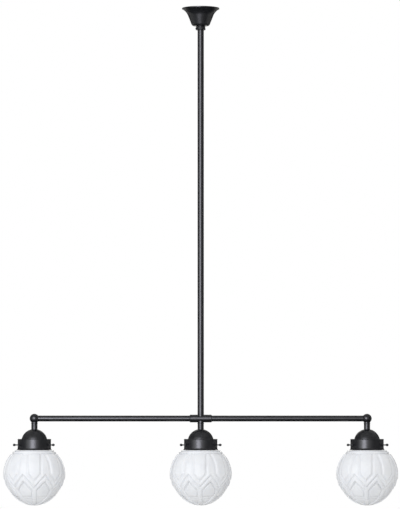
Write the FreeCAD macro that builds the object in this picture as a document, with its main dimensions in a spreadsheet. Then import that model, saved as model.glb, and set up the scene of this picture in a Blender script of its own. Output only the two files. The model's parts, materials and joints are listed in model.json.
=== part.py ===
"""Linear island pendant: three pressed opal globes on one straight beam, hung from a hook by a rod.

Millimetres, +Z up. The origin is on the ceiling, at the centre of the ceiling plate's top face.
+X runs along the beam and +Y away from the front. Depths are counted downwards from the ceiling,
and inside a lamp head from the beam's axis.
"""
import FreeCAD, Part

import math
import os
import re

import Sketcher

DIMENSIONS = {
    # layout
    "lamp_pitch": 421,
    "beam_depth": 1048,
    # ceiling plate, hook and hanging joint
    "plate_length": 80,
    "plate_width": 22,
    "plate_thickness": 2,
    "plate_screw_spacing": 64,
    "plate_screw_hole": 5,
    "hook_wire": 5,
    "hook_bend": 8,
    "hook_depth": 26,
    "earth_screw_place": 24,
    "roller_depth": 18.9,
    "roller_length": 14.4,
    "strap_gap": 15,
    "strap_width": 12,
    "strap_thickness": 2,
    "pin_size": 4,
    "running_gap": 0.06,
    # threaded pipe used at every joint that wires pass through
    "pipe_size": 10,
    "pipe_bore": 7,
    # rod and canopy
    "rod_depth": 40,
    "rod_size": 16,
    "rod_wall": 1,
    "canopy_depth": 3,
    "canopy_size": 95,
    "canopy_height": 45.5,
    "canopy_sheet": 1.2,
    "collar_height": 10.5,
    "collar_bore": 16.16,
    "grub_size": 4,
    # beam
    "sleeve_size": 19.5,
    "sleeve_length": 56,
    "beam_size": 15,
    "beam_wall": 1.2,
    "socket_depth": 20,
    "elbow_size": 24,
    # lamp head, depths below the beam's axis
    "stem_size": 15.6,
    "dome_top": 27.3,
    "dome_radius": 33.1,
    "dome_drop": 7.7,
    "dome_sheet": 1,
    "gallery_top": 51.8,
    "gallery_size": 84.2,
    "gallery_height": 27.7,
    "gallery_sheet": 1,
    "holder_skirt": 39.2,
    "thumbscrew_depth": 66.8,
    "thumbscrew_size": 3,
    "thumbscrew_hole": 3.1,
    "bulb_cap_size": 26.2,
    "bulb_size": 60,
    # globe, measured from its own centre
    "globe_depth": 141.2,
    "globe_size": 156.8,
    "band_size": 152.8,
    "chevron_size": 149.8,
    "field_size": 146.8,
    "glass_wall": 2.6,
    "foot_size": 142,
    "foot_drop": 4.6,
    "rib_size": 144.4,
    "rib_drop": 6.3,
    "rib_width": 8.8,
    "panel_half": 15.6,
    "panel_groove": 3.1,
    "neck_bore": 67,
}
LAMPS = {"left": "-lamp_pitch", "middle": "0", "right": "lamp_pitch"}
THUMBSCREW_ANGLES = {"front_left": 210, "front_right": -30, "back": 90}
GLOBE_PANELS = 8
UP = FreeCAD.Vector(0, 0, 1)
DOWN = FreeCAD.Vector(0, 0, -1)
RIGHT = FreeCAD.Vector(1, 0, 0)
LEFT = FreeCAD.Vector(-1, 0, 0)
BACK = FreeCAD.Vector(0, 1, 0)

document = FreeCAD.newDocument("island_pendant")
sheet = document.addObject("Spreadsheet::Sheet", "sizes")
for row, (alias, amount) in enumerate(DIMENSIONS.items(), start=1):
    sheet.set(f"A{row}", alias)
    sheet.set(f"B{row}", str(amount))
    sheet.setAlias(f"B{row}", alias)
document.recompute()
nodes = []


# ---------------------------------------------------------------------------------------------
# Drawing helpers
# ---------------------------------------------------------------------------------------------
def bound(text):
    """The expression with each alias written as a cell of the sheet."""
    return re.sub(r"[a-z_]+", lambda word: f"sizes.{word[0]}" if word[0] in DIMENSIONS else word[0], str(text))


def amount_of(text):
    """The expression's present value in millimetres."""
    return float(sheet.evalExpression(bound(text)))


def bind(thing, path, text):
    """Drive one property from the sheet."""
    thing.setExpression(path, bound(text))


def place(thing, at, rotation=None):
    """Set a thing's placement, with its position bound to the sheet."""
    if rotation is not None:
        thing.Placement = FreeCAD.Placement(FreeCAD.Vector(), rotation)
    for letter, text in zip("xyz", at):
        bind(thing, f"Placement.Base.{letter}", text)


def node(thing):
    """Mark a finished piece of the pendant."""
    nodes.append(thing)
    return thing


def drawing(body, name):
    """A sketch in the body's front plane: across is +X and down is positive."""
    sketch = body.newObject("Sketcher::SketchObject", name)
    front = next(plane for plane in body.Origin.OriginFeatures if plane.Role == "XZ_Plane")
    sketch.AttachmentSupport = [(front, "")]
    sketch.MapMode = "FlatFace"
    sketch.AttachmentOffset = FreeCAD.Placement(FreeCAD.Vector(), FreeCAD.Rotation(RIGHT, 180))
    return sketch


def arc_between(start, end, radius, side):
    """A minor arc whose centre is to the left (side 1) or right (side -1) of the way along it."""
    chord = end - start
    rise = math.sqrt(radius ** 2 - (chord.Length / 2) ** 2)
    left = FreeCAD.Vector(-chord.y, chord.x, 0).normalize()
    centre = (start + end) * 0.5 + left * rise * side
    first, last = (start, end) if side > 0 else (end, start)
    circle = Part.Circle(centre, UP, radius)
    return Part.ArcOfCircle(circle, circle.parameter(first), circle.parameter(last))


def closed_profile(sketch, corners):
    """Draw a closed outline. A corner is (across, down), or (across, down, radius, side) after an arc."""
    points = [FreeCAD.Vector(amount_of(corner[0]), amount_of(corner[1]), 0) for corner in corners]
    begins = []
    ends = []
    for index, start in enumerate(points):
        after = (index + 1) % len(points)
        if len(corners[after]) == 2:
            sketch.addGeometry(Part.LineSegment(start, points[after]), False)
            begins.append(1)
            ends.append(2)
            continue
        radius, side = corners[after][2:]
        sketch.addGeometry(arc_between(start, points[after], amount_of(radius), side), False)
        begins.append(1 if side > 0 else 2)
        ends.append(2 if side > 0 else 1)
    for index, corner in enumerate(corners):
        before = index - 1 if index else len(corners) - 1
        sketch.addConstraint(Sketcher.Constraint("Coincident", before, ends[before], index, begins[index]))
        for kind, axis, text in (("DistanceX", -2, corner[0]), ("DistanceY", -1, corner[1])):
            dimension(sketch, kind, axis, index, begins[index], text)
        if len(corner) == 4:
            radius = sketch.addConstraint(Sketcher.Constraint("Radius", before, amount_of(corner[2])))
            bind(sketch, f"Constraints[{radius}]", corner[2])


def dimension(sketch, kind, axis, line, end, text):
    """Fix one coordinate of a corner, on the axis itself where it is zero."""
    if amount_of(text) == 0:
        sketch.addConstraint(Sketcher.Constraint("PointOnObject", line, end, axis))
        return
    number = sketch.addConstraint(Sketcher.Constraint(kind, line, end, amount_of(text)))
    bind(sketch, f"Constraints[{number}]", text)


def turned(name, corners, at=("0", "0", "0"), along=DOWN):
    """A lathe-turned body. Corners are (radius, distance along the axis), and the axis points along."""
    body = document.addObject("PartDesign::Body", name)
    sketch = drawing(body, f"{name}_outline")
    closed_profile(sketch, corners)
    turn = body.newObject("PartDesign::Revolution", f"{name}_turn")
    turn.Profile = sketch
    turn.ReferenceAxis = (sketch, ["V_Axis"])
    turn.Angle = 360
    place(body, at, FreeCAD.Rotation(DOWN, along))
    return body


def cylinder(name, size, length, at, along=UP):
    """A round bar of the given diameter that starts at a point."""
    bar = document.addObject("Part::Cylinder", name)
    bind(bar, "Radius", f"({size}) / 2")
    bind(bar, "Height", length)
    place(bar, at, FreeCAD.Rotation(UP, along))
    return bar


def ball(name, size, at):
    """A full sphere of the given diameter."""
    sphere = document.addObject("Part::Sphere", name)
    bind(sphere, "Radius", f"({size}) / 2")
    place(sphere, at)
    return sphere


def block(name, lengths, at):
    """A box from its low corner."""
    box = document.addObject("Part::Box", name)
    for side, text in zip(("Length", "Width", "Height"), lengths):
        bind(box, side, text)
    place(box, at)
    return box


def joined(name, pieces):
    """One solid from several."""
    whole = document.addObject("Part::MultiFuse", name)
    whole.Shapes = pieces
    return whole


def cut(name, base, tools):
    """A solid with others cut out of it."""
    tool = tools[0] if len(tools) == 1 else joined(f"{name}_cutters", tools)
    result = document.addObject("Part::Cut", name)
    result.Base = base
    result.Tool = tool
    return result


def shared(name, first, second):
    """What two solids have in common."""
    result = document.addObject("Part::Common", name)
    result.Base = first
    result.Tool = second
    return result


def across_sphere(radius, height):
    """How wide a sphere is at a height from its centre."""
    return f"sqrt(({radius})^2 - ({height})^2)"


def outward(angle):
    """The level direction at an angle from +X."""
    return FreeCAD.Vector(math.cos(math.radians(angle)), math.sin(math.radians(angle)), 0)


# ---------------------------------------------------------------------------------------------
# Ceiling side
# ---------------------------------------------------------------------------------------------
def ceiling_plate():
    """Flat steel bar with round ends, two screw holes, the hook's hole and the earth screw's."""
    bottom = "-plate_thickness"
    end_offset = "(plate_length - plate_width) / 2"
    middle = block("plate_middle", (f"2 * {end_offset}", "plate_width", "plate_thickness"),
                   (f"-{end_offset}", "-plate_width / 2", bottom))
    ends = [cylinder(f"plate_end_{side}", "plate_width", "plate_thickness", (f"{sign}{end_offset}", "0", bottom))
            for side, sign in (("left", "-"), ("right", ""))]
    holes = [cylinder("plate_hole_left", "plate_screw_hole", "2 * plate_thickness",
                      ("-plate_screw_spacing / 2", "0", "-1.5 * plate_thickness")),
             cylinder("plate_hole_right", "plate_screw_hole", "2 * plate_thickness",
                      ("plate_screw_spacing / 2", "0", "-1.5 * plate_thickness")),
             cylinder("plate_hook_hole", "hook_wire", "2 * plate_thickness",
                      ("hook_bend", "0", "-1.5 * plate_thickness")),
             cylinder("plate_earth_hole", "grub_size", "2 * plate_thickness",
                      ("earth_screw_place", "0", "-1.5 * plate_thickness"))]
    node(cut("ceiling_plate", joined("plate_blank", [middle, *ends]), holes))


def ceiling_hook():
    """Round wire riveted in the plate, with a shoulder under it, bent up to a J."""
    bend_depth = "hook_depth - hook_bend"
    shank = cylinder("hook_shank", "hook_wire", bend_depth, ("hook_bend", "0", f"-({bend_depth})"))
    shoulder = cylinder("hook_shoulder", "2 * hook_wire", "plate_thickness",
                        ("hook_bend", "0", "-2 * plate_thickness"))
    bend = document.addObject("Part::Torus", "hook_bowl")
    bind(bend, "Radius1", "hook_bend")
    bind(bend, "Radius2", "hook_wire / 2")
    bend.Angle3 = 180
    place(bend, ("0", "0", f"-({bend_depth})"), FreeCAD.Rotation(RIGHT, -90))
    lip = cylinder("hook_lip", "hook_wire", "hook_wire", ("-hook_bend", "0", f"-({bend_depth})"))
    tip = ball("hook_tip", "hook_wire", ("-hook_bend", "0", f"hook_wire - ({bend_depth})"))
    node(joined("ceiling_hook", [shank, shoulder, bend, lip, tip]))


def terminal_block():
    """Three-way connector under the plate, with a screw well and two wire holes for each way."""
    case = block("terminal_case", ("16", "22", "12"), ("-30", "-11", "-plate_thickness - 12"))
    wells = []
    for way, across in enumerate((-7, 0, 7)):
        wells.append(cylinder(f"terminal_well_{way}", "4", "6", ("-22", f"{across}", "-plate_thickness - 12")))
        wells.append(cylinder(f"terminal_wire_{way}", "3", "16",
                              ("-30", f"{across}", "-plate_thickness - 5"), RIGHT))
    node(cut("terminal_block", case, wells))


def earth_screw():
    """Pan-head screw in the plate's tapped hole."""
    node(turned("earth_screw", [
        ("0", "0"), ("grub_size / 2", "0"), ("grub_size / 2", "plate_thickness"), ("4", "plate_thickness"),
        ("4", "plate_thickness + 1.4"), ("3", "plate_thickness + 2.4", "1.2", 1), ("0", "plate_thickness + 2.4"),
    ], ("earth_screw_place", "0", "0")))


def hook_roller():
    """Grooved insulating roller that sits in the hook and turns on the stirrup's pin."""
    middle = "roller_length / 2"
    node(turned("hook_roller", [
        ("pin_size / 2 + running_gap", "0"), ("8.5", "0"), ("8.5", f"{middle} - 5.36"),
        ("5.12", f"{middle} - 1.98"), ("5.12", f"{middle} + 1.98", "2.8", -1),
        ("8.5", f"{middle} + 5.36"), ("8.5", "roller_length"), ("pin_size / 2 + running_gap", "roller_length"),
    ], ("0", "-roller_length / 2", "-roller_depth"), BACK))


def stirrup():
    """Steel strap bent to a U round the roller, with the rod's stud through its base."""
    half = "(strap_gap / 2 + strap_thickness)"
    base_depth = "rod_depth"
    legs_height = "(rod_depth - roller_depth)"
    outer = block("stirrup_outer", ("strap_width", f"2 * {half}", legs_height),
                  ("-strap_width / 2", f"-{half}", f"-{base_depth}"))
    crown = cylinder("stirrup_crown", "strap_width", f"2 * {half}", ("0", f"-{half}", "-roller_depth"), BACK)
    inner = block("stirrup_inner", ("2 * strap_width", "strap_gap", f"2 * {legs_height}"),
                  ("-strap_width", "-strap_gap / 2", f"strap_thickness - {base_depth}"))
    pin_hole = cylinder("stirrup_pin_hole", "pin_size", f"4 * {half}", ("0", f"-2 * {half}", "-roller_depth"), BACK)
    stud_hole = cylinder("stirrup_stud_hole", "pipe_size", "3 * strap_thickness",
                         ("0", "0", f"-{base_depth} - strap_thickness"))
    node(cut("stirrup", joined("stirrup_blank", [outer, crown]), [inner, pin_hole, stud_hole]))


def stirrup_pin():
    """Rivet pin with a head at each end, across the stirrup."""
    grip = "strap_gap + 2 * strap_thickness"
    head = "1.2"
    node(turned("stirrup_pin", [
        ("0", "0"), ("3.2", "0"), ("3.2", head), ("pin_size / 2", head), ("pin_size / 2", f"{grip} + {head}"),
        ("3.2", f"{grip} + {head}"), ("3.2", f"{grip} + 2 * {head}"), ("0", f"{grip} + 2 * {head}"),
    ], ("0", f"-({grip}) / 2 - {head}", "-roller_depth"), BACK))


def rod_top():
    """Plug pressed in the rod's top end, with a threaded stud through the stirrup, and its nut."""
    seat = "rod_depth"
    node(turned("rod_top_stud", [
        ("pipe_bore / 2", f"{seat} - 8"), ("pipe_size / 2", f"{seat} - 8"), ("pipe_size / 2", seat),
        ("rod_size / 2 - rod_wall", seat), ("rod_size / 2 - rod_wall", f"{seat} + 14"),
        ("pipe_bore / 2", f"{seat} + 14"),
    ]))
    blank = document.addObject("Part::Prism", "nut_blank")
    blank.Polygon = 6
    bind(blank, "Circumradius", "8.1")
    bind(blank, "Height", "5")
    place(blank, ("0", "0", f"strap_thickness - {seat}"))
    bore = cylinder("nut_bore", "pipe_size", "10", ("0", "0", f"-{seat}"))
    node(cut("rod_nut", blank, [bore]))


# ---------------------------------------------------------------------------------------------
# Canopy
# ---------------------------------------------------------------------------------------------
def canopy():
    """Spun steel cup: plain rim band, hollow flare, straight cone and a rounded flat bottom."""
    node(turned("canopy", [
        ("canopy_size / 2 - canopy_sheet", "0"), ("canopy_size / 2", "0"), ("canopy_size / 2", "2.4"),
        ("46.6", "2.4"), ("32.2", "19.1", "33.8", -1), ("23.3", "41.7"), ("17.7", "canopy_height", "6", 1),
        ("8.6", "canopy_height"), ("8.6", "canopy_height - canopy_sheet"), ("17.7", "canopy_height - canopy_sheet"),
        ("22.15", "41.3", "4.8", -1), ("31.1", "18.7"), ("46", "1.4", "35", 1),
    ], ("0", "0", "-canopy_depth")))


def canopy_collar():
    """Tapered ring that holds the canopy up, clamped on the rod by a grub screw at its left."""
    bottom = "collar_height"
    ring = turned("collar_ring", [
        ("collar_bore / 2", "0"), ("11.2", "0"), ("12.6", f"{bottom} - 0.8"), ("11.8", bottom),
        ("collar_bore / 2", bottom),
    ], ("0", "0", "-canopy_depth - canopy_height"))
    screw_depth = "-canopy_depth - canopy_height - collar_height * 0.6"
    hole = cylinder("collar_hole", "grub_size + 2 * running_gap", "20", ("0", "0", screw_depth), LEFT)
    node(cut("canopy_collar", ring, [hole]))
    tip = "rod_size / 2 + 0.15"
    node(turned("collar_screw", [
        ("0", tip), ("1.2", tip), ("grub_size / 2", "9"), ("grub_size / 2", "13.4"), ("1", "13.4"),
        ("1", "11.4"), ("0", "11.4"),
    ], ("0", "0", screw_depth), LEFT))


# ---------------------------------------------------------------------------------------------
# Rod and beam
# ---------------------------------------------------------------------------------------------
def sleeve_envelope(name):
    """The cross sleeve's outside, for coping what lands on it."""
    return cylinder(name, "sleeve_size", "sleeve_length", ("-sleeve_length / 2", "0", "-beam_depth"), RIGHT)


def rod():
    """Straight steel tube, coped to sit on the cross sleeve."""
    bore = "rod_size / 2 - rod_wall"
    tube = turned("rod_tube", [
        (bore, "rod_depth"), ("rod_size / 2", "rod_depth"), ("rod_size / 2", "beam_depth - 5"),
        (bore, "beam_depth - 5"),
    ])
    node(cut("rod", tube, [sleeve_envelope("rod_cope")]))
    seat = "beam_depth - sleeve_size / 2"
    node(turned("rod_foot_stud", [
        ("pipe_bore / 2", f"{seat} - 16"), (bore, f"{seat} - 16"), (bore, seat), ("pipe_size / 2", seat),
        ("pipe_size / 2", "beam_depth - 3"), ("pipe_bore / 2", "beam_depth - 3"),
    ]))


def cross_fitting():
    """Sleeve with chamfered ends: a socket for each beam tube and a tapped hole up and down."""
    edge = "1.5"
    outer = "sleeve_size / 2"
    socket = "beam_size / 2"
    sleeve = turned("cross_sleeve", [
        (socket, "0"), (f"{outer} - {edge}", "0"), (outer, edge), (outer, f"sleeve_length - {edge}"),
        (f"{outer} - {edge}", "sleeve_length"), (socket, "sleeve_length"),
        (socket, "sleeve_length - socket_depth"), ("4", "sleeve_length - socket_depth"), ("4", "socket_depth"),
        (socket, "socket_depth"),
    ], ("-sleeve_length / 2", "0", "-beam_depth"), RIGHT)
    tapped = cylinder("cross_tapped_hole", "pipe_size", "2 * sleeve_size", ("0", "0", "-beam_depth - sleeve_size"))
    node(cut("cross_fitting", sleeve, [tapped]))


def beam_arm(side, along):
    """One beam tube and the ball elbow at its outer end."""
    place_of = LAMPS[side]
    end = "lamp_pitch - 6"
    node(turned(f"beam_{side}", [
        ("beam_size / 2 - beam_wall", "sleeve_length / 2 - socket_depth"),
        ("beam_size / 2", "sleeve_length / 2 - socket_depth"),
        ("beam_size / 2", end), ("beam_size / 2 - beam_wall", end),
    ], ("0", "0", "-beam_depth"), along))
    solid_ball = ball(f"elbow_ball_{side}", "elbow_size", (place_of, "0", "-beam_depth"))
    socket_mouth = f"{place_of} - ({along.x} * 18)"
    socket = cylinder(f"elbow_socket_{side}", "beam_size", "12", (socket_mouth, "0", "-beam_depth"), along)
    wire_way = cylinder(f"elbow_wire_way_{side}", "8", "18", (socket_mouth, "0", "-beam_depth"), along)
    tapped = cylinder(f"elbow_tapped_hole_{side}", "pipe_size", "elbow_size", (place_of, "0", "-beam_depth"), DOWN)
    node(cut(f"elbow_{side}", solid_ball, [socket, wire_way, tapped]))


# ---------------------------------------------------------------------------------------------
# Lamp head
# ---------------------------------------------------------------------------------------------
def stem(side, at):
    """Short sleeve with a bead, coped to the beam's fitting, and the threaded pipe through it."""
    outer = "stem_size / 2"
    sleeve = turned(f"stem_sleeve_{side}", [
        ("pipe_size / 2", "5"), (outer, "5"), (outer, "11.3"), (f"{outer} + 0.6", "11.9"),
        (f"{outer} + 0.6", "12.9"), (outer, "13.5"), (outer, "dome_top"), ("pipe_size / 2", "dome_top"),
    ], at)
    if side == "middle":
        envelope = sleeve_envelope("stem_cope_middle")
    else:
        envelope = ball(f"stem_cope_{side}", "elbow_size", at)
    node(cut(f"stem_{side}", sleeve, [envelope]))
    node(turned(f"stem_pipe_{side}", [
        ("pipe_bore / 2", "3"), ("pipe_size / 2", "3"), ("pipe_size / 2", "33"), ("pipe_bore / 2", "33"),
    ], at))


def dome_cap(side, at):
    """Spun cap over the lampholder, from the stem down to the gallery's top plate."""
    centre = "gallery_top + dome_drop"
    inner = "(dome_radius - dome_sheet)"
    under = "dome_top + dome_sheet"
    node(turned(f"dome_cap_{side}", [
        ("pipe_size / 2", "dome_top"), (across_sphere("dome_radius", f"{centre} - dome_top"), "dome_top"),
        (across_sphere("dome_radius", "dome_drop"), "gallery_top", "dome_radius", 1),
        (across_sphere(inner, "dome_drop"), "gallery_top"),
        (across_sphere(inner, f"{centre} - ({under})"), under, inner, -1), ("pipe_size / 2", under),
    ], at))


def lampholder(side, at):
    """Moulded holder with a flange over the gallery's plate and a skirt through it, and its screw shell."""
    top = "dome_top + dome_sheet"
    skirt = "holder_skirt / 2"
    node(turned(f"lampholder_{side}", [
        ("pipe_size / 2", top), ("7.4", top), ("7.4", "31"), ("19", "38"), ("19", "gallery_top - 2.3"),
        ("22.5", "gallery_top - 2.3"), ("22.5", "gallery_top"), (skirt, "gallery_top"), (skirt, "86"),
        ("14", "86"), ("14", "57"), ("3", "57"), ("3", "52"), ("16", "52"), ("16", "40"), ("pipe_size / 2", "33.5"),
    ], at))
    node(turned(f"screw_shell_{side}", [("13.4", "57"), ("14", "57"), ("14", "84"), ("13.4", "84")], at))
    plate_bottom = "gallery_top + gallery_sheet"
    node(turned(f"shade_ring_{side}", [
        (skirt, plate_bottom), ("25.5", plate_bottom), ("25.5", f"{plate_bottom} + 5"),
        ("24.5", f"{plate_bottom} + 6.5"), (skirt, f"{plate_bottom} + 6.5"),
    ], at))


def gallery(side, at):
    """Spun cup that holds the globe's neck: beaded top edge, flared lip and three screw bosses."""
    outer = "gallery_size / 2"
    sheet_inside = "gallery_size / 2 - gallery_sheet"
    bottom = "gallery_top + gallery_height"
    flare = f"{bottom} - 5"
    cup = turned(f"gallery_cup_{side}", [
        ("holder_skirt / 2", "gallery_top"), (f"{outer} - 0.8", "gallery_top"),
        (f"{outer} + 0.4", "gallery_top + 1.2", "1.2", 1), (outer, "gallery_top + 2.4", "1.6", 1),
        (outer, flare), (f"{outer} + 3", bottom, "7", -1), (f"{outer} + 1.6", bottom),
        (sheet_inside, flare, "6", 1), (sheet_inside, "gallery_top + gallery_sheet"),
        ("holder_skirt / 2", "gallery_top + gallery_sheet"),
    ], at)
    height = f"{at[2]} - thumbscrew_depth"
    bosses = []
    drills = []
    for corner, angle in THUMBSCREW_ANGLES.items():
        way = outward(angle)
        boss_at = (f"{at[0]} + {way.x * 41.5}", f"{way.y * 41.5}", height)
        drill_at = (f"{at[0]} + {way.x * 36}", f"{way.y * 36}", height)
        bosses.append(cylinder(f"boss_{side}_{corner}", "6", "2.5", boss_at, way))
        drills.append(cylinder(f"drill_{side}_{corner}", "thumbscrew_hole", "12", drill_at, way))
    node(cut(f"gallery_{side}", joined(f"gallery_blank_{side}", [cup, *bosses]), drills))


def thumbscrews(side, at):
    """Three screws with rounded knobs: their tips reach under the globe's lip."""
    shank = "thumbscrew_size / 2"
    height = f"{at[2]} - thumbscrew_depth"
    for corner, angle in THUMBSCREW_ANGLES.items():
        node(turned(f"thumbscrew_{side}_{corner}", [
            ("0", "38.2"), (f"{shank} - 0.4", "38.2"), (shank, "38.6"), (shank, "52.6"),
            ("3.2", "55.4", "4.5", -1), ("3.2", "58.2"), ("1.4", "60.2", "2.2", 1), ("0", "60.2"),
        ], (at[0], "0", height), outward(angle)))


def bulb(side, at):
    """Screw bulb: metal cap and hollow pear-shaped glass."""
    cap = "bulb_cap_size / 2"
    node(turned(f"bulb_cap_{side}", [
        ("0", "57.6"), ("4.5", "57.6"), ("5.5", "59.2"), ("9", "60.5"), (cap, "63.5"), (cap, "86"),
        (f"{cap} - 1", "86"), (f"{cap} - 1", "64.1"), ("8.6", "61.6"), ("0", "60.8"),
    ], at))
    outer = "(bulb_size / 2)"
    inner = "(bulb_size / 2 - 1)"
    centre = "105.6 + bulb_size / 2"
    node(turned(f"bulb_glass_{side}", [
        (cap, "86"), ("14.5", "98"), (across_sphere(outer, f"{outer} / 2"), f"{centre} - {outer} / 2"),
        ("0", f"{centre} + {outer}", outer, 1), ("0", f"{centre} + {inner}"),
        (across_sphere(inner, f"{inner} / 2"), f"{centre} - {inner} / 2", inner, -1),
        ("13.6", "98.3"), (f"{cap} - 0.9", "86"),
    ], at))


# ---------------------------------------------------------------------------------------------
# Pressed-glass globe
# ---------------------------------------------------------------------------------------------
def relief(name, corners, centre, size, drop="0"):
    """Eight radial bars with one outline, each facing its own panel, trimmed to a sphere."""
    body = document.addObject("PartDesign::Body", f"{name}_bars")
    sketch = drawing(body, f"{name}_outline")
    closed_profile(sketch, corners)
    bar = body.newObject("PartDesign::Pad", f"{name}_bar")
    bar.Profile = sketch
    bind(bar, "Length", "globe_size * 0.6")
    bars = body.newObject("PartDesign::PolarPattern", f"{name}_pattern")
    bars.Originals = [bar]
    bars.Axis = (sketch, ["V_Axis"])
    bars.Angle = 360
    bars.Occurrences = GLOBE_PANELS
    body.Tip = bars
    place(body, centre)
    limit = ball(f"{name}_limit", size, (centre[0], "0", f"{centre[2]} - {drop}"))
    return shared(name, body, limit)


def mirrored_outline(half):
    """A symmetric outline from its right half."""
    left = [(f"-({across})", down) for across, down in reversed(half) if across != "0"]
    return half + left


def globe(side, at):
    """Opal globe: lip, neck and step rings, then panels, bands, chevrons and ribs round a plain field."""
    centre = (at[0], "0", f"{at[2]} - globe_depth")
    low = (at[0], "0", f"{centre[2]} - foot_drop")
    neck = turned(f"globe_neck_{side}", [
        ("neck_bore / 2", "60"), ("38.8", "60"), ("40", "61.2", "1.2", 1), ("40", "65"), ("37.6", "65"),
        ("37", "65.6"),
        ("37", "80.6"), ("47.6", "80.6"), ("49", "82", "1.4", 1), ("49", "82.8"), ("51.4", "82.8"),
        ("52.8", "84.2", "1.4", 1), ("52.8", "84.9"), ("55.2", "85.4"), ("54.8", "93"), ("neck_bore / 2", "93"),
    ], at)
    field = ball(f"globe_field_{side}", "field_size", centre)
    foot = ball(f"globe_foot_{side}", "foot_size", low)
    panels = relief(f"panels_{side}", mirrored_outline([
        ("panel_half", "-55.6"), ("panel_half", "-1.5"), ("0", "16.5"),
    ]), centre, "globe_size")
    groove_edge = "panel_half + panel_groove"
    bands = relief(f"bands_{side}", mirrored_outline([
        ("0", "21.5"), (groove_edge, "0.6"), (groove_edge, "-51"), ("20.6", "-51"), ("24.2", "-38"),
        ("26.6", "-24"), ("28", "-5"), ("28", "3.3"), ("0", "34"),
    ]), centre, "band_size")
    chevrons = relief(f"chevrons_{side}", mirrored_outline([
        ("0", "38.5"), ("28", "8"), ("27", "21.5"), ("0", "48"),
    ]), centre, "chevron_size")
    ribs = relief(f"ribs_{side}", mirrored_outline([
        ("rib_width / 2", "36"), ("rib_width / 2", "80"),
    ]), centre, "rib_size", "rib_drop")
    inside = ball(f"globe_inside_{side}", "field_size - 2 * glass_wall", centre)
    low_inside = ball(f"globe_low_inside_{side}", "foot_size - 2 * glass_wall", low)
    mouth = cylinder(f"globe_mouth_{side}", "neck_bore", "90", (at[0], "0", centre[2]))
    solid_glass = joined(f"globe_solid_{side}", [field, foot, neck, panels, bands, chevrons, ribs])
    node(cut(f"globe_{side}", solid_glass, [inside, low_inside, mouth]))


# ---------------------------------------------------------------------------------------------
# Build, check and write
# ---------------------------------------------------------------------------------------------
def build():
    """Make every piece."""
    ceiling_plate()
    ceiling_hook()
    terminal_block()
    earth_screw()
    hook_roller()
    stirrup()
    stirrup_pin()
    rod_top()
    canopy()
    canopy_collar()
    rod()
    cross_fitting()
    beam_arm("left", LEFT)
    beam_arm("right", RIGHT)
    for side, across in LAMPS.items():
        at = (across, "0", "-beam_depth")
        stem(side, at)
        dome_cap(side, at)
        lampholder(side, at)
        gallery(side, at)
        thumbscrews(side, at)
        bulb(side, at)
        globe(side, at)


def check_and_write():
    """Stop on any failed object or bad solid, then write one file for each piece."""
    for thing in document.Objects:
        if {"Invalid", "Error"} & set(thing.State):
            raise RuntimeError(f"{thing.Name} failed: {thing.State}")
    for piece in nodes:
        if piece.Shape.isNull() or not piece.Shape.isValid() or not piece.Shape.Solids:
            raise RuntimeError(f"{piece.Label} has no valid solid")
    os.makedirs("parts", exist_ok=True)
    for piece in nodes:
        piece.Shape.exportStep(f"parts/{piece.Label}.step")
        print(f"{piece.Label:30s} {len(piece.Shape.Solids)} solid, {piece.Shape.Volume / 1000:9.3f} cm3")
    print(len(nodes), "pieces")


build()
document.recompute()
check_and_write()
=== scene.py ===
import json
import math

import bmesh
import bpy
from mathutils import Matrix, Vector

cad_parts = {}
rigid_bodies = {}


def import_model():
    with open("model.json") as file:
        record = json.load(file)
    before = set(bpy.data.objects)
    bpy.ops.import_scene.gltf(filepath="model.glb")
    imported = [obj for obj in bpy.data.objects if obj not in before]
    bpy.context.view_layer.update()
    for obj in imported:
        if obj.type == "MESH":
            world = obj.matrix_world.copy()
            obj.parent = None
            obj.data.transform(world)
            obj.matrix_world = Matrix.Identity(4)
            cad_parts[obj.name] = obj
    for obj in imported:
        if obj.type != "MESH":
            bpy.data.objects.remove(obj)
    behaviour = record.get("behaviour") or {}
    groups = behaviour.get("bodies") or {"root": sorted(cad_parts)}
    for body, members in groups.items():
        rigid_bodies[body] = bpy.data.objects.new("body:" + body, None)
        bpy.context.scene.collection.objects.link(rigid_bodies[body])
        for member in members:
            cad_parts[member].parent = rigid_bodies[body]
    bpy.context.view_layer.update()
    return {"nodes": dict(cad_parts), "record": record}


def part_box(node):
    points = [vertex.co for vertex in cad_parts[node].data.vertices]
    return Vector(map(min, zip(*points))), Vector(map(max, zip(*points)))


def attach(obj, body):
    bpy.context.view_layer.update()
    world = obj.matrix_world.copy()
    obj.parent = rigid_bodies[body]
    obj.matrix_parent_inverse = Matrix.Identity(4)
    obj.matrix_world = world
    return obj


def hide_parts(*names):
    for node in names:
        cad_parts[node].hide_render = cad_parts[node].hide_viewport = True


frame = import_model()

# %% [markdown]
# # A linear island pendant, piece by piece
#
# The lamp is three pressed opal-glass globes under one straight black tube, hung from the ceiling
# by a long rod and a small black cup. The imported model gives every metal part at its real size, so
# this notebook gives each part the finish of the real one, and models the forms that a plain lathe
# profile can't give: the pressed leaf pattern of the glass, the knurled thumbscrews, the threads,
# the hexagon nut and the screw slots. The frame's lengths are metres. Small parts are drawn in
# millimetres, and one function brings them into the frame.

# %% Names that the pieces share
MM = 0.001
LAMPS = ("left", "middle", "right")
SCREW_ANGLES = {"front_left": 210, "front_right": -30, "back": 90}
PHOTO_WIDTH = 400
PHOTO_HEIGHT = 509

BODY_OF = {}
for body, nodes in frame["record"]["behaviour"]["bodies"].items():
    for node in nodes:
        BODY_OF[node] = body


def middle_of(node):
    """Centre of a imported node's box."""
    low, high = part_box(node)
    return (low + high) / 2


BEAM_HEIGHT = middle_of("beam_left").z

# %% [markdown]
# ## The camera
#
# The picture was taken from far away with a long lens, so the tubes hardly converge. A camera that
# stood close would see the tops of the globes and splay the outer lamps. The camera stands at the
# height of the globes, which is where their top rims look like straight lines, and it tilts up
# until the beam falls on the row where the photograph has it.

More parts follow.
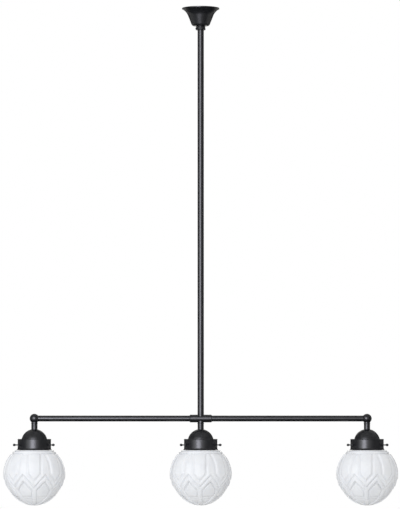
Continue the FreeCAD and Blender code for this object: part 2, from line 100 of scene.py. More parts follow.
# %% Camera
CAMERA_DISTANCE = 8.5
CAMERA_HEIGHT = -1.12
MM_PER_PIXEL = 2.535
BEAM_ROW = 418.6
ROD_COLUMN = 200.7
SENSOR = 36

frame_height = PHOTO_HEIGHT * MM_PER_PIXEL * MM
aim_height = BEAM_HEIGHT + (BEAM_ROW - PHOTO_HEIGHT / 2) * MM_PER_PIXEL * MM
aim_across = (PHOTO_WIDTH / 2 - ROD_COLUMN) * MM_PER_PIXEL * MM

camera_data = bpy.data.cameras.new("camera")
camera_data.sensor_fit = "VERTICAL"
camera_data.sensor_height = SENSOR
camera_data.lens = SENSOR * CAMERA_DISTANCE / frame_height
camera = bpy.data.objects.new("camera", camera_data)
bpy.context.scene.collection.objects.link(camera)
camera.location = (aim_across, -CAMERA_DISTANCE, CAMERA_HEIGHT)
look = Vector((aim_across, 0, aim_height)) - camera.location
camera.rotation_euler = look.to_track_quat("-Z", "Y").to_euler()
bpy.context.scene.camera = camera
looking_up = math.degrees(math.asin(look.z / look.length))
print("lens", round(camera_data.lens, 1), "mm, looking up", round(looking_up, 2), "degrees")

# %% [markdown]
# ## Colour and nodes
#
# A finish is a small network of nodes. One function turns a colour as a painter writes it, in sRGB,
# into the linear light that the renderer works in. Another adds one node of any kind, sets its
# properties and sockets, and links what is already there into it. Patterns read Object
# coordinates, which are metres here, so a pattern's scale is one over its real size.

# %% Colour and node helpers
bpy.context.scene.view_settings.view_transform = "Standard"


def linear(code):
    """The linear colour of an sRGB hex code, by the standard's own curve."""
    colour = []
    for place in (1, 3, 5):
        part = int(code[place:place + 2], 16) / 255
        colour.append(part / 12.92 if part <= 0.04045 else ((part + 0.055) / 1.055) ** 2.4)
    return colour + [1.0]


def add_node(tree, kind, settings=(), **links):
    """Add one node. Settings are its properties or sockets, and links are outputs for its sockets."""
    made = tree.nodes.new(kind)
    for name, value in dict(settings).items():
        if isinstance(name, int) or name in made.inputs:
            made.inputs[name].default_value = value
        else:
            setattr(made, name, value)
    for name, output in links.items():
        socket = int(name[1:]) if name[0] == "_" else name.replace("_", " ")
        tree.links.new(output, made.inputs[socket])
    return made


# %% [markdown]
# ## One recipe for a finish
#
# No real surface has one colour and one gloss all over. Each finish here lets its colour and its
# roughness wander between two near values over blotches of a stated size, and lets a finer grain
# stand up by a stated depth. A painted texture would do that too, but it would need seams, and a
# procedural one has the same grain size on every part.

# %% Finish recipe
CLOUD_RANGE = {"From Min": 0.3, "From Max": 0.7}


def finish(name, colours, rough, blotch, grain, depth, stretch=(1, 1, 1), **sockets):
    """A material. Colours and rough are each a pair that the blotches run between."""
    made = bpy.data.materials.new(name)
    made.use_nodes = True
    tree = made.node_tree
    tree.nodes.clear()
    place = add_node(tree, "ShaderNodeTexCoord").outputs["Object"]
    drawn = add_node(tree, "ShaderNodeMapping", {"Scale": stretch}, Vector=place).outputs["Vector"]
    cloud = add_node(tree, "ShaderNodeTexNoise", {"Scale": 1 / blotch, "Detail": 3.0}, Vector=drawn)
    spread = add_node(tree, "ShaderNodeMapRange", CLOUD_RANGE, Value=cloud.outputs["Fac"])
    pair = {"data_type": "RGBA", 6: linear(colours[0]), 7: linear(colours[1])}
    tint = add_node(tree, "ShaderNodeMix", pair, _0=spread.outputs["Result"])
    gloss = add_node(tree, "ShaderNodeMapRange", {**CLOUD_RANGE, "To Min": rough[0], "To Max": rough[1]},
                     Value=cloud.outputs["Fac"])
    peel = add_node(tree, "ShaderNodeTexNoise", {"Scale": 1 / grain, "Detail": 1.0}, Vector=drawn)
    relief = add_node(tree, "ShaderNodeBump", {"Strength": 1.0, "Distance": depth},
                      Height=peel.outputs["Fac"])
    shader = add_node(tree, "ShaderNodeBsdfPrincipled",
                      {socket.replace("_", " "): value for socket, value in sockets.items()},
                      Base_Color=tint.outputs[2], Roughness=gloss.outputs["Result"],
                      Normal=relief.outputs["Normal"])
    add_node(tree, "ShaderNodeOutputMaterial", Surface=shader.outputs["BSDF"])
    return made


# %% [markdown]
# ## Satin black lacquer
#
# The tubes, the cup, the domes and the galleries are steel, sprayed with a satin black lacquer that
# has a little blue in it. Sprayed lacquer levels into a very shallow orange peel, about 3 mm from
# crest to crest and some microns high, which softens a long highlight and keeps it from looking
# like chrome. The thumbscrews are blackened steel, which is thinner and a little duller.

# %% Black finishes
LACQUER = finish("satin_black_lacquer", colours=("#131418", "#17181C"), rough=(0.29, 0.35),
                 blotch=30 * MM, grain=3 * MM, depth=0.002 * MM, IOR=1.5)
BLACK_STEEL = finish("blackened_steel", colours=("#141519", "#1D1E22"), rough=(0.3, 0.42),
                     blotch=4 * MM, grain=0.6 * MM, depth=0.002 * MM, IOR=1.5)

# %% [markdown]
# ## Pressed opal glass
#
# Opal glass is milk-white all through. Light goes in, scatters for some millimetres and comes out
# again, which fills the grooves of the relief, while the fire-polished skin keeps a clear
# reflection. A white paint would look flat and hard instead. The glass has faint cloudy streaks,
# and the ripple of a pressed surface.

# %% Opal glass
OPAL = finish("opal_pressed_glass", colours=("#E8EAEF", "#EFF1F5"), rough=(0.17, 0.25),
              blotch=25 * MM, grain=9 * MM, depth=0.02 * MM, IOR=1.5,
              Subsurface_Weight=0.25, Subsurface_Scale=5 * MM, Subsurface_Radius=(1.0, 0.95, 0.9))

# %% [markdown]
# ## The finishes inside
#
# The hook, the strap and the threaded pipes are zinc plated, which dries in small bluish and
# yellowish clouds. The roller is glazed porcelain, the terminal block white polyamide, and the
# lampholders black phenolic. Brass and nickel parts are turned, so their grain is drawn out round
# them. They show when the canopy slides down or a bulb comes out.

# %% Metals, porcelain and plastics
TURNED = (1, 1, 6)
ZINC = finish("zinc_plated_steel", colours=("#B4B9C2", "#CFCEC6"), rough=(0.28, 0.42),
              blotch=5 * MM, grain=0.8 * MM, depth=0.003 * MM, Metallic=1.0)
BRASS = finish("turned_brass", colours=("#C09A55", "#D4B36E"), rough=(0.2, 0.3),
               blotch=3 * MM, grain=0.5 * MM, depth=0.002 * MM, stretch=TURNED, Metallic=1.0)
NICKEL = finish("nickel_plated_cap", colours=("#C2C2BE", "#D3D1CB"), rough=(0.18, 0.3),
                blotch=3 * MM, grain=0.5 * MM, depth=0.002 * MM, stretch=TURNED, Metallic=1.0)
PORCELAIN = finish("glazed_porcelain", colours=("#E6E2D8", "#F0EDE6"), rough=(0.08, 0.14),
                   blotch=6 * MM, grain=3 * MM, depth=0.01 * MM)
POLYAMIDE = finish("white_polyamide", colours=("#DCDAD2", "#E6E4DC"), rough=(0.38, 0.5),
                   blotch=5 * MM, grain=0.4 * MM, depth=0.004 * MM)
PHENOLIC = finish("black_phenolic", colours=("#17171A", "#201F21"), rough=(0.25, 0.35),
                  blotch=6 * MM, grain=1 * MM, depth=0.003 * MM)
FROSTED = finish("frosted_bulb_glass", colours=("#ECECE9", "#F3F3F1"), rough=(0.35, 0.45),
                 blotch=12 * MM, grain=1 * MM, depth=0.002 * MM,
                 Subsurface_Weight=0.2, Subsurface_Scale=2 * MM)

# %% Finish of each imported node
FINISHES = {
    "black_paint": LACQUER, "black_screw": BLACK_STEEL, "opal_glass": OPAL, "zinc_steel": ZINC,
    "brass": BRASS, "porcelain": PORCELAIN, "white_plastic": POLYAMIDE, "black_plastic": PHENOLIC,
    "bulb_metal": NICKEL, "bulb_glass": FROSTED,
}
SLOT_OF = {name: packed.data.materials[0].name for name, packed in frame["nodes"].items()}
for name, packed in frame["nodes"].items():
    packed.data.materials[0] = FINISHES[SLOT_OF[name]]
print({slot: list(SLOT_OF.values()).count(slot) for slot in FINISHES})

# %% [markdown]
# ## The white room
#
# The lamp is photographed against pure white. The world is that white wherever the camera, a
# reflection or a refraction looks at it, and a quieter white where it lights the surfaces, so that
# pale glass keeps its shape and doesn't burn out. The floor is matt white paint, well below the
# globes, and it catches their shadow in the views from above.

# %% World
WORLD_FILL = 0.86

world = bpy.data.worlds.new("white_room")
bpy.context.scene.world = world
world.use_nodes = True
sky = world.node_tree
sky.nodes.clear()
rays = add_node(sky, "ShaderNodeLightPath").outputs
seen = add_node(sky, "ShaderNodeMath", {"operation": "MAXIMUM"},
                _0=rays["Is Camera Ray"], _1=rays["Is Glossy Ray"])
seen = add_node(sky, "ShaderNodeMath", {"operation": "MAXIMUM"},
                _0=seen.outputs[0], _1=rays["Is Transmission Ray"])
fill = add_node(sky, "ShaderNodeBackground", {"Color": linear("#FBFAF8"), "Strength": WORLD_FILL})
white = add_node(sky, "ShaderNodeBackground", {"Color": linear("#FFFFFF"), "Strength": 1.0})
sky_mix = add_node(sky, "ShaderNodeMixShader", _0=seen.outputs[0], _1=fill.outputs[0], _2=white.outputs[0])
add_node(sky, "ShaderNodeOutputWorld", Surface=sky_mix.outputs[0])


# %% From a bmesh to an object
def to_object(name, mould, material, sharp_over=None):
    """Turn a finished bmesh into an object. Edges that fold more than sharp_over degrees stay crisp."""
    mesh = bpy.data.meshes.new(name)
    mould.to_mesh(mesh)
    mould.free()
    mesh.materials.append(material)
    mesh.shade_smooth()
    if sharp_over is not None:
        mesh.set_sharp_from_angle(angle=math.radians(sharp_over))
    made = bpy.data.objects.new(name, mesh)
    bpy.context.scene.collection.objects.link(made)
    return made


# %% Floor
FLOOR_HEIGHT = -2.6
FLOOR_HALF = 12.0
FLOOR_PAINT = finish("matt_white_floor_paint", colours=("#EFEFEE", "#F3F3F2"), rough=(0.6, 0.7),
                     blotch=0.4, grain=3 * MM, depth=0.05 * MM)

flat = bmesh.new()
bmesh.ops.create_grid(flat, x_segments=1, y_segments=1, size=FLOOR_HALF)
bmesh.ops.translate(flat, verts=flat.verts, vec=(0, 0, FLOOR_HEIGHT))
to_object("floor", flat, FLOOR_PAINT)
print("floor", round((BEAM_HEIGHT - FLOOR_HEIGHT) / MM), "mm below the beam")

# %% [markdown]
# ## Soft boxes
#
# One large soft box stands high to the left of the camera and models the globes from left to right.
# A second, weaker one lights them from behind, for the views from there. Black lacquer hardly
# shows such light: what one sees on it is the mirror image of the lamps. A tall strip box, left of
# the camera, draws the long highlight down the rod, along the left arm of the beam and on the
# left of each gallery. It lights the black parts alone, so the glass doesn't mirror it too.

# %% Soft box lights
HEADS_CENTRE = Vector((0, 0, BEAM_HEIGHT - 120 * MM))
KEY_DISTANCE = 4.0
BACK_DISTANCE = 7.0
STRIP_EDGE = -0.06
STRIP_SIZE = (1.7, 2.35)
STRIP_DEPTH = -3.2
STRIP_HEIGHT = -0.6


def direction(azimuth, elevation):
    """A unit vector. Azimuth 0 is the camera's side, and a positive one is to its right."""
    level = math.cos(math.radians(elevation))
    return Vector((math.sin(math.radians(azimuth)) * level, -math.cos(math.radians(azimuth)) * level,
                   math.sin(math.radians(elevation))))


def soft_box(name, place, aim, size, brightness, colour):
    """A rectangular light with an even face, where a brightness of 1 would look white."""
    light = bpy.data.lights.new(name, "AREA")
    light.shape = "RECTANGLE"
    light.size, light.size_y = size
    light.energy = brightness * size[0] * size[1] * math.pi
    light.color = linear(colour)[:3]
    box = bpy.data.objects.new(name, light)
    bpy.context.scene.collection.objects.link(box)
    box.location = place
    box.rotation_euler = (aim - place).to_track_quat("-Z", "Y").to_euler()
    box.visible_camera = False
    print(name, "at", [round(number, 2) for number in place], "brightness", brightness)
    return box


key_place = HEADS_CENTRE + direction(azimuth=-30, elevation=14) * KEY_DISTANCE
back_place = HEADS_CENTRE + direction(azimuth=180, elevation=12) * BACK_DISTANCE
strip_place = Vector((STRIP_EDGE - STRIP_SIZE[0] / 2, STRIP_DEPTH, STRIP_HEIGHT))
straight_back = strip_place + Vector((0, 1, 0))
soft_box("key_soft_box", key_place, HEADS_CENTRE, size=(3.6, 3.6), brightness=1.25, colour="#F6FAFF")
soft_box("back_soft_box", back_place, HEADS_CENTRE, size=(2.5, 3.0), brightness=1.6, colour="#FFFDF8")
strip = soft_box("lacquer_strip", strip_place, straight_back, STRIP_SIZE, brightness=9.5, colour="#F1F1FF")
strip.visible_diffuse = False
lacquered = bpy.data.collections.new("lacquered_pieces")
strip.light_linking.receiver_collection = lacquered

# %% [markdown]
# ## Flags
#
# In an all-white room a black tube gets grey, washed-out edges, because every surface mirrors
# strongly when seen at a glancing angle. A product photographer therefore hangs cloth flags round
# the set, outside the picture, and lays one on the floor. They are grey at the sides, where the
# broad faces of the parts mirror them, black behind, where the edges do, and pale overhead. Here
# they are a drum that is open in front and below, and one sheet. Only reflections see them.

# %% Flags
FLAG_RADIUS = 9.0
FLAG_HEIGHT = 8.0
FLAG_FRONT = (-62, 28)
FLAG_END = FLAG_HEIGHT / 2 - 0.1
BLACK_FROM = 0.75 * FLAG_RADIUS
LOW_FLAG_HALF = (4.5, 4.0)
LOW_FLAG_BACK = 0.4
ABOVE_FLOOR = 10 * MM
GREY, BLACK, PALE = 0, 1, 2


def hidden_but_in_reflections(stage_piece):
    """Keep a studio piece out of everything but mirror images."""
    stage_piece.visible_camera = False
    stage_piece.visible_diffuse = False
    stage_piece.visible_transmission = False
    stage_piece.visible_shadow = False


def in_drum_opening(face):
    """Whether a drum face lies in front of the lamp or in the bottom."""
    centre = face.calc_center_median()
    azimuth = math.degrees(math.atan2(centre.x, -centre.y))
    open_side = FLAG_FRONT[0] < azimuth < FLAG_FRONT[1]
    wall = abs(centre.z) < FLAG_END
    return (wall and open_side) or centre.z < -FLAG_END


def flag_cloth(name, colours):
    """Coarse matt cloth."""
    return finish(name, colours, rough=(0.9, 1.0), blotch=0.5, grain=5 * MM, depth=0.2 * MM)


PALE_CLOTH = flag_cloth("pale_flag_cloth", ("#CACACB", "#D0D0D1"))
GREY_CLOTH = flag_cloth("grey_flag_cloth", ("#98989A", "#9E9EA0"))
BLACK_CLOTH = flag_cloth("black_flag_cloth", ("#161618", "#1C1C1E"))
drum = bmesh.new()
bmesh.ops.create_cone(drum, cap_ends=True, cap_tris=False, segments=72,
                      radius1=FLAG_RADIUS, radius2=FLAG_RADIUS, depth=FLAG_HEIGHT)
bmesh.ops.delete(drum, geom=[face for face in drum.faces if in_drum_opening(face)], context="FACES")
drum_flag = to_object("drum_flag", drum, GREY_CLOTH)
drum_flag.data.materials.append(BLACK_CLOTH)
drum_flag.data.materials.append(PALE_CLOTH)
for face in drum_flag.data.polygons:
    if face.center.z > FLAG_END:
        face.material_index = PALE
    else:
        face.material_index = BLACK if face.center.y > BLACK_FROM else GREY
hidden_but_in_reflections(drum_flag)
print("drum flag", len(drum_flag.data.polygons), "faces")

low_sheet = bmesh.new()
bmesh.ops.create_grid(low_sheet, x_segments=1, y_segments=1, size=1)
bmesh.ops.scale(low_sheet, verts=low_sheet.verts, vec=(*LOW_FLAG_HALF, 1))
bmesh.ops.translate(low_sheet, verts=low_sheet.verts, vec=(0, LOW_FLAG_BACK, FLOOR_HEIGHT + ABOVE_FLOOR))
hidden_but_in_reflections(to_object("floor_flag", low_sheet, BLACK_CLOTH))

# %% [markdown]
# ## Turned parts
#
# Most pieces below start on a lathe, in the workshop and here. An outline of radius and height is
# spun once round the axis. The outline is drawn in millimetres with its axis upright, and a second
# function scales it to metres, leans it the right way and carries it to its place in the frame.

# %% Lathe helpers
MERGE = 0.001
UP, DOWN = Vector((0, 0, 1)), Vector((0, 0, -1))


def spun(profile, steps):
    """Spin an outline of (radius, height) points round the upright axis."""
    mould = bmesh.new()
    points = [mould.verts.new((radius, 0, height)) for radius, height in profile]
    edges = [mould.edges.new(pair) for pair in zip(points, points[1:])]
    bmesh.ops.spin(mould, geom=points + edges, cent=(0, 0, 0), axis=(0, 0, 1), dvec=(0, 0, 0),
                   angle=2 * math.pi, steps=steps, use_merge=True, use_duplicate=False)
    bmesh.ops.remove_doubles(mould, verts=mould.verts, dist=MERGE)
    bmesh.ops.recalc_face_normals(mould, faces=mould.faces)
    return mould


def carried(mould, at, along=UP):
    """Bring a part from millimetres into the frame, its axis along a direction and its zero at a point."""
    lean = along.to_track_quat("Z", "Y").to_matrix()
    bmesh.ops.scale(mould, verts=mould.verts, vec=(MM, MM, MM))
    bmesh.ops.rotate(mould, verts=mould.verts, cent=(0, 0, 0), matrix=lean)
    bmesh.ops.translate(mould, verts=mould.verts, vec=at)
    return mould


def arc_point(radius, angle):
    """The (radius, height) point of a round outline at an angle from the level."""
    return (radius * math.cos(angle), radius * math.sin(angle))


def ramp(value, start, width):
    """A smooth step that leaves 0 at the start and reaches 1 a width further on."""
    part = min(1.0, max(0.0, (value - start) / width))
    return part * part * (3 - 2 * part)


def top_of(node):
    """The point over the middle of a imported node, level with its top."""
    point = middle_of(node)
    point.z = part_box(node)[1].z
    return point


def in_place_of(piece, node):
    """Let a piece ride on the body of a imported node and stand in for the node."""
    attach(piece, BODY_OF[node])
    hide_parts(node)
    print(piece.name, len(piece.data.polygons), "faces")


# %% [markdown]
# ## The pressed globe
#
# A plain ball would miss what this lamp is bought for: eight pointed panels with bevelled edges,
# zigzag bands between them, kite-shaped fields and a rib under each point. They could be cut with
# booleans, but pressed glass has soft edges. So one wall outline is spun with many steps, and then
# every outer vertex is moved along its own radius to the height that the pattern has there.

# %% Pattern of the glass
PANELS = 8
STEPS_PER_PANEL = 48
BLANK = 77.0
PANEL_RADIUS = 78.3
GROUND_RADIUS = 75.4
BAND_RADIUS = 76.7
GROOVE_RADIUS = 73.6
FOOT_OVAL = (73.2, 78.4)
PANEL_HALF = 17.1
PANEL_CORNER = 1.0
PANEL_SLOPE = 19.4 / 17.1
SHOULDER = math.radians(42.6)

# %% [markdown]
# The slopes of the relief are pairs: where a slope starts and how wide it is, as `ramp` takes them.
# The two slanting lines are height at a panel's middle, rise per millimetre across, and the factor
# that turns a height under the line into a distance square to it.

# %% Slopes and lines of the pattern
PANEL_BEVEL = (0.5, 5.0)
BAND_BEVEL = (0.5, 4.5)
ZIGZAG_LINE = (-34.0, 1.0925, 0.675)
ZIGZAG_UPPER = (-3.5, 3.0)
ZIGZAG_LOWER = (0.8, 3.0)
CHEVRON_RISE = 1.7
CHEVRON_LINE = (-48.0, 0.9815, 0.7137)
CHEVRON_UPPER = (-3.0, 2.4)
KITE_GROUND = 2.4
KITE_RISE = 1.7
KITE_TOP, KITE_SIDE, KITE_FOOT = (1.2, 2.0), (7.4, 1.6), (-57.0, 2.0)
RIB_SIDE, RIB_TOP = (-5.6, 1.6), (34.0, 3.0)
RING_GROOVES = (-58.5, -64.5)
RING_DEPTH, RING_WIDTH = 0.7, 0.8
BUTTON_EDGE = (-8.5, 1.2)


def under(line, across, height):
    """How far a place lies under a slanting line, in millimetres square to the line."""
    start, rise, square = line
    return (start + rise * across - height) * square


def pressed_radius(longitude, latitude):
    """Outer radius of the glass in millimetres, from a pattern that repeats eight times round it."""
    turn = 2 * math.pi / PANELS
    fold = (longitude + turn / 2) % turn - turn / 2
    across = abs(BLANK * math.cos(latitude) * math.sin(fold))
    height = BLANK * math.sin(latitude)
    foot = 1 / math.hypot(math.cos(latitude) / FOOT_OVAL[0], math.sin(latitude) / FOOT_OVAL[1])
    # inside the pointed panel the glass rises from its bevelled edge, and outside it to the band
    beside = across - PANEL_HALF
    below = (beside * PANEL_SLOPE - (height - PANEL_CORNER)) / math.hypot(1, PANEL_SLOPE)
    outside = max(beside, below)
    if outside < 0:
        surface = GROUND_RADIUS + (PANEL_RADIUS - GROUND_RADIUS) * ramp(-outside, *PANEL_BEVEL)
    else:
        surface = GROUND_RADIUS + (BAND_RADIUS - GROUND_RADIUS) * ramp(outside, *BAND_BEVEL)
    # zigzag groove under the band, then the chevron
    under_band = under(ZIGZAG_LINE, across, height)
    if under_band > ZIGZAG_LOWER[0]:
        surface = GROOVE_RADIUS + CHEVRON_RISE * ramp(under_band, *ZIGZAG_LOWER)
    else:
        surface += (GROOVE_RADIUS - surface) * ramp(under_band, *ZIGZAG_UPPER)
    # second groove, then the kite-shaped fields between the ribs
    under_chevron = under(CHEVRON_LINE, across, height)
    if under_chevron > CHEVRON_UPPER[0]:
        surface += (foot - KITE_GROUND - surface) * ramp(under_chevron, *CHEVRON_UPPER)
        kite = ramp(under_chevron, *KITE_TOP) * ramp(across, *KITE_SIDE) * ramp(height, *KITE_FOOT)
        surface = max(surface, foot - KITE_GROUND + KITE_RISE * kite)
    # rib under the point, two ring grooves round the foot and a button at the pole
    surface += (foot - surface) * ramp(-across, *RIB_SIDE) * ramp(-height, *RIB_TOP)
    for ring in RING_GROOVES:
        surface -= RING_DEPTH * math.exp(-((height - ring) / RING_WIDTH) ** 2)
    if height < 0:
        surface += (FOOT_OVAL[1] - surface) * ramp(-BLANK * math.cos(latitude), *BUTTON_EDGE)
    return surface


# %% Globe blank
ROWS = 150
INSIDE_RADIUS = 70.5
INSIDE_DEGREES = range(-90, 61, 5)
LIP_TOP = 81.2
NECK_BORE = 33.5
NECK = [(NECK_BORE, LIP_TOP), (38.8, LIP_TOP), (39.8, 80.6), (40.0, 79.6), (40.0, 76.6), (37.4, 76.2),
        (37.0, 75.4), (37.0, 61.2)]
STEP_RINGS = [(48.8, 60.6), (50.0, 60.2), (50.3, 59.4), (50.3, 58.6), (50.6, 58.1), (51.6, 57.8),
              (53.2, 57.5), (54.2, 56.9), (55.0, 55.6), (55.6, 54.3), (55.7, 53.5), (55.3, 52.9)]
NECK_INSIDE = (NECK_BORE, 62.0)

outer = [arc_point(BLANK, SHOULDER - (SHOULDER + math.pi / 2) * row / ROWS) for row in range(ROWS + 1)]
inner = [arc_point(INSIDE_RADIUS, math.radians(degree)) for degree in INSIDE_DEGREES]
wall = NECK + STEP_RINGS + outer + inner + [NECK_INSIDE, NECK[0]]
blank = spun(wall, PANELS * STEPS_PER_PANEL)
print("blank", len(wall), "outline points", len(blank.faces), "faces")

# %% [markdown]
# ### Pressing the pattern
#
# Only the ball's outer skin is pressed. It is told from the neck and the inside by its distance
# from the centre. At the shoulder the panels end in a small step, so the pattern comes in within
# little more than a degree. The three globes were set in at slightly different turns, and each is
# turned by what the photograph shows.

# %% Pressed globes
STEP_IN = math.radians(1.2)
SKIN = 0.5
GLOBE_TURNS = {"left": 2.8, "middle": -2.0, "right": -5.0}

for vert in blank.verts:
    distance = vert.co.length
    if abs(distance - BLANK) > SKIN:
        continue
    latitude = math.asin(max(-1.0, min(1.0, vert.co.z / distance)))
    longitude = math.atan2(vert.co.y, vert.co.x) + math.pi / 2
    pressed_in = ramp(SHOULDER - latitude, 0, STEP_IN)
    radius = GROUND_RADIUS + (pressed_radius(longitude, latitude) - GROUND_RADIUS) * pressed_in
    vert.co *= radius / distance

for lamp in LAMPS:
    globe = blank.copy()
    turned = Matrix.Rotation(math.radians(GLOBE_TURNS[lamp]), 3, "Z")
    bmesh.ops.rotate(globe, verts=globe.verts, cent=(0, 0, 0), matrix=turned)
    centre = top_of(f"globe_{lamp}")
    centre.z -= LIP_TOP * MM
    glass = to_object(f"pressed_globe_{lamp}", carried(globe, centre), OPAL)
    in_place_of(glass, f"globe_{lamp}")
blank.free()

# %% [markdown]
# ## Thumbscrews
#
# Three screws hold each globe by its lip, and one loosens them by hand. The knob is knurled for the
# fingers. A knurl could be a bump texture, but it would be missing from the outline of such a small
# knob. Its rim is spun with twice as many steps as it has teeth, and every second line of vertices
# is pressed in. The thread is cut as plain rings, half a millimetre apart.

# %% Thumbscrews
SHANK = 1.5
PITCH = 0.5
THREAD_DEPTH = 0.22
KNOB = 3.2
TEETH = 26
TOOTH_DEPTH = 0.3
THREAD_FROM, THREAD_TO = 38.7, 50.7
KNOB_FROM, KNOB_TO = 55.6, 58.0
KNOB_EDGE = 0.3
SCREW_TIP = [(0, 38.2), (1.1, 38.2)]
SCREW_NECK = [(SHANK, 52.4), (1.9, 53.6), (2.6, 54.7), (KNOB - KNOB_EDGE, KNOB_FROM - 0.4)]
KNOB_CROWN = [(KNOB - KNOB_EDGE, KNOB_TO + 0.5), (2.5, 59.5), (1.5, 60.05), (0, 60.2)]


def threads(radius, depth, pitch, start, end):
    """Outline points of a thread, as crests and roots half a pitch apart."""
    count = int((end - start) / pitch)
    return [(radius - depth * (half % 2), start + half * pitch / 2) for half in range(2 * count + 1)]


def knurled_screw():
    """A thumbscrew in millimetres. Its heights are distances from the globe's axis."""
    thread = threads(SHANK, THREAD_DEPTH, PITCH, THREAD_FROM, THREAD_TO)
    knob = [(KNOB, KNOB_FROM), (KNOB, KNOB_TO)]
    screw = spun(SCREW_TIP + thread + SCREW_NECK + knob + KNOB_CROWN, 2 * TEETH)
    for vert in screw.verts:
        line = round(math.atan2(vert.co.y, vert.co.x) * TEETH / math.pi)
        if KNOB_FROM - 0.1 < vert.co.z < KNOB_TO + 0.1 and line % 2:
            vert.co.xy *= 1 - TOOTH_DEPTH / KNOB
    return screw


for lamp in LAMPS:
    axis_at = middle_of(f"globe_{lamp}")
    for corner, angle in SCREW_ANGLES.items():
        node = f"thumbscrew_{lamp}_{corner}"
        outwards = Vector((math.cos(math.radians(angle)), math.sin(math.radians(angle)), 0))
        start = Vector((axis_at.x, axis_at.y, middle_of(node).z))
        mould = carried(knurled_screw(), start, outwards)
        in_place_of(to_object(f"knurled_{node}", mould, BLACK_STEEL, sharp_over=40), node)

# %% [markdown]
# ## The hexagon nut
#
# The nut that holds the rod in its stirrup is a common hexagon nut with both ends turned to a
# chamfer, which leaves curved edges on its six flats. Cutting a prism with a cone gives them, but a
# lathe outline does it without cutting: the nut is spun as a drum, and each vertex is drawn in to
# the flat of the hexagon, where the flat lies deeper than the drum.

# %% Hexagon nut
NUT_CORNERS = 8.1
NUT_HEIGHT = 5.0
NUT_BORE = 5.0
NUT_STEPS = 96
NUT_END = [(NUT_BORE, 0), (NUT_CORNERS - 0.9, 0), (NUT_CORNERS - 0.3, 0.6), (NUT_CORNERS, 1.1)]


def hexagon_nut():
    """A hexagon nut with chamfered ends, in millimetres and centred on its own middle."""
    high = NUT_HEIGHT / 2
    lower = [(radius, inwards - high) for radius, inwards in NUT_END]
    upper = [(radius, high - inwards) for radius, inwards in reversed(NUT_END)]
    nut = spun(lower + upper + lower[:1], NUT_STEPS)
    flat_distance = NUT_CORNERS * math.cos(math.pi / 6)
    for vert in nut.verts:
        angle = math.atan2(vert.co.y, vert.co.x)
        fold = (angle % (math.pi / 3)) - math.pi / 6
        reach = flat_distance / math.cos(fold)
        if vert.co.xy.length > reach:
            vert.co.xy *= reach / vert.co.xy.length
    return nut


mould = carried(hexagon_nut(), middle_of("rod_nut"))
in_place_of(to_object("chamfered_rod_nut", mould, ZINC, sharp_over=30), "rod_nut")

# %% [markdown]
# ## Slotted screws
#
# The earth screw and the three terminal screws have a slot. The head is spun, two cuts mark the
# sides of the slot on its face, and the strip between them is pushed in.

# %% Slot cutter
CUT_MERGE = 0.0001
CROWN_HEIGHT = 1.2
FACING_UP = 0.5


def slotted(mould, face_height, half_width, depth):
    """Sink a slot in the faces at a height, across the whole head."""
    for side in (-1, 1):
        whole = mould.verts[:] + mould.edges[:] + mould.faces[:]
        bmesh.ops.bisect_plane(mould, geom=whole, dist=CUT_MERGE, plane_co=(side * half_width, 0, 0),
                               plane_no=(1, 0, 0))
    strip_faces = []
    for face in mould.faces:
        centre = face.calc_center_median()
        on_crown = face.normal.z > FACING_UP and centre.z > face_height - CROWN_HEIGHT
        if on_crown and abs(centre.x) < half_width:
            strip_faces.append(face)
    sunk = bmesh.ops.extrude_face_region(mould, geom=strip_faces)
    bmesh.ops.delete(mould, geom=strip_faces, context="FACES")
    for piece in sunk["geom"]:
        if isinstance(piece, bmesh.types.BMVert):
            piece.co.z = face_height - depth
    bmesh.ops.recalc_face_normals(mould, faces=mould.faces)
    return mould


# %% Earth screw
EARTH_STEM, EARTH_HEAD, PLATE, EARTH_HEIGHT = 2.0, 4.0, 2.0, 4.4
EARTH_CROWN = [(EARTH_HEAD, 3.4), (3.7, 4.0), (3.0, EARTH_HEIGHT), (0, EARTH_HEIGHT)]
earth = spun([(0, 0), (EARTH_STEM, 0), (EARTH_STEM, PLATE), (EARTH_HEAD, PLATE)] + EARTH_CROWN, 48)
slotted(earth, EARTH_HEIGHT, half_width=0.5, depth=1.2)
mould = carried(earth, top_of("earth_screw"), DOWN)
in_place_of(to_object("slotted_earth_screw", mould, BRASS, sharp_over=30), "earth_screw")

# %% Terminal screws
TERMINAL_WELL = 4.0
TERMINAL_PITCH = 7.0
TERMINAL_HEAD, TERMINAL_HEIGHT = 1.9, 2.0
TERMINAL_OUTLINE = [(0, 0), (TERMINAL_HEAD, 0), (TERMINAL_HEAD, 1.6), (1.6, TERMINAL_HEIGHT),
                    (0, TERMINAL_HEIGHT)]

for place, way in (("front", -1), ("middle", 0), ("back", 1)):
    head = spun(TERMINAL_OUTLINE, 32)
    slotted(head, TERMINAL_HEIGHT, half_width=0.35, depth=0.8)
    well = middle_of("terminal_block")
    well.y += way * TERMINAL_PITCH * MM
    well.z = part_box("terminal_block")[0].z + TERMINAL_WELL * MM
    screw = to_object(f"terminal_screw_{place}", carried(head, well, DOWN), BRASS, sharp_over=30)
    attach(screw, BODY_OF["terminal_block"])
    print(screw.name, len(screw.data.polygons), "faces")

# %% [markdown]
# ## Rolled threads of the bulb and its holder
#
# The bulb's cap and the holder's shell are thin metal with a round, coarse thread rolled in. The
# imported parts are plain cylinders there. A wave along the outline gives the thread. It is spun as
# rings, which look the same as a helix from every side but the two ends.

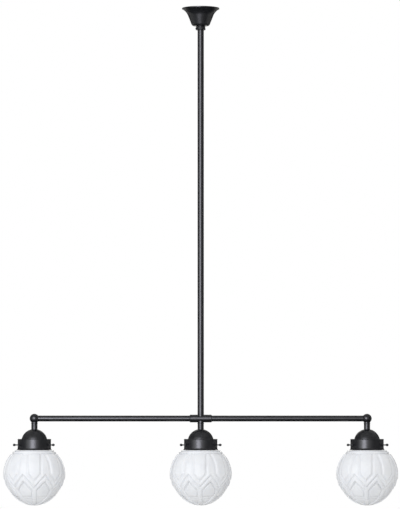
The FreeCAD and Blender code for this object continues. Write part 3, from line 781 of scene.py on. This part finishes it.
# %% Bulb caps and screw shells
THREAD_PITCH = 3.63
THREAD_WAVE = 0.8
CAP_RADIUS, CAP_BODY, CAP_SHEET = 13.1, 22.0, 0.5
CAP_TOP = 5.9
CAP_CROWN = [(0, CAP_TOP), (4.2, CAP_TOP), (4.5, 5.5), (5.5, 4.3), (9.0, 3.0), (CAP_RADIUS - 0.4, 0.6)]
CAP_CROWN_INSIDE = [(8.6, 1.9), (0, 2.7)]
SHELL_RADIUS, SHELL_LENGTH, SHELL_SHEET = 14.0, 27.0, 0.3
WAVE_STEPS = 8
THREAD_STEPS = 64


def rolled(radius, length):
    """Outline points of a rolled thread, from height 0 down to the length."""
    count = int(length / THREAD_PITCH) * WAVE_STEPS
    points = []
    for step in range(count + 1):
        trough = 0.5 - 0.5 * math.cos(2 * math.pi * step / WAVE_STEPS)
        points.append((radius - THREAD_WAVE * trough, -length * step / count))
    return points


def drawn_in(outline, sheet):
    """The same outline on the other side of the sheet, run through backwards."""
    return [(radius - sheet, height) for radius, height in reversed(outline)]


for lamp in LAMPS:
    outside = rolled(CAP_RADIUS, CAP_BODY)
    cap = spun(CAP_CROWN + outside + drawn_in(outside, CAP_SHEET) + CAP_CROWN_INSIDE, THREAD_STEPS)
    cap_at = top_of(f"bulb_cap_{lamp}")
    cap_at.z -= CAP_TOP * MM
    in_place_of(to_object(f"threaded_cap_{lamp}", carried(cap, cap_at), NICKEL), f"bulb_cap_{lamp}")
    outside = rolled(SHELL_RADIUS, SHELL_LENGTH)
    shell = spun(outside + drawn_in(outside, SHELL_SHEET) + outside[:1], THREAD_STEPS)
    shell_at = top_of(f"screw_shell_{lamp}")
    in_place_of(to_object(f"threaded_shell_{lamp}", carried(shell, shell_at), BRASS), f"screw_shell_{lamp}")

# %% [markdown]
# ## The notched shade rings
#
# A ring screws up on the lampholder and clamps the gallery. It has notches round its rim for the
# fingers. It is spun as a plain ring, and then every second outer face is pushed in.

# %% Notched shade rings
RING_OUTER, RING_INNER, RING_HEIGHT = 25.5, 19.6, 6.5
RING_WALL = 5.0
RING_CHAMFER = 1
RING_OUTLINE = [(RING_INNER, 0), (RING_OUTER, 0), (RING_OUTER, -RING_WALL),
                (RING_OUTER - RING_CHAMFER, -RING_HEIGHT), (RING_INNER, -RING_HEIGHT), (RING_INNER, 0)]
RING_RIM = 0.7
NOTCHES = 20
NOTCH_WIDTH = 360 / (2 * NOTCHES)
NOTCH_BORDER = 0.3
NOTCH_DEPTH = 1.0

for lamp in LAMPS:
    ring = spun(RING_OUTLINE, 2 * NOTCHES)
    notch_faces = []
    for face in ring.faces:
        centre = face.calc_center_median()
        turn = math.degrees(math.atan2(centre.y, centre.x))
        if centre.xy.length > RING_OUTER - RING_RIM and int(turn // NOTCH_WIDTH) % 2:
            notch_faces.append(face)
    bmesh.ops.inset_individual(ring, faces=notch_faces, thickness=NOTCH_BORDER, depth=0.0,
                               use_even_offset=True)
    for face in notch_faces:
        bmesh.ops.translate(ring, verts=face.verts, vec=-face.normal * NOTCH_DEPTH)
    mould = carried(ring, top_of(f"shade_ring_{lamp}"))
    in_place_of(to_object(f"notched_ring_{lamp}", mould, PHENOLIC, sharp_over=25), f"shade_ring_{lamp}")

# %% [markdown]
# ## Last steps
#
# The strip box needs a list of the black pieces, so it comes after all of them.

# %% Black pieces
for piece in bpy.context.scene.objects:
    if piece.type != "MESH" or not piece.data.materials:
        continue
    if piece.data.materials[0] in (LACQUER, BLACK_STEEL):
        lacquered.objects.link(piece)
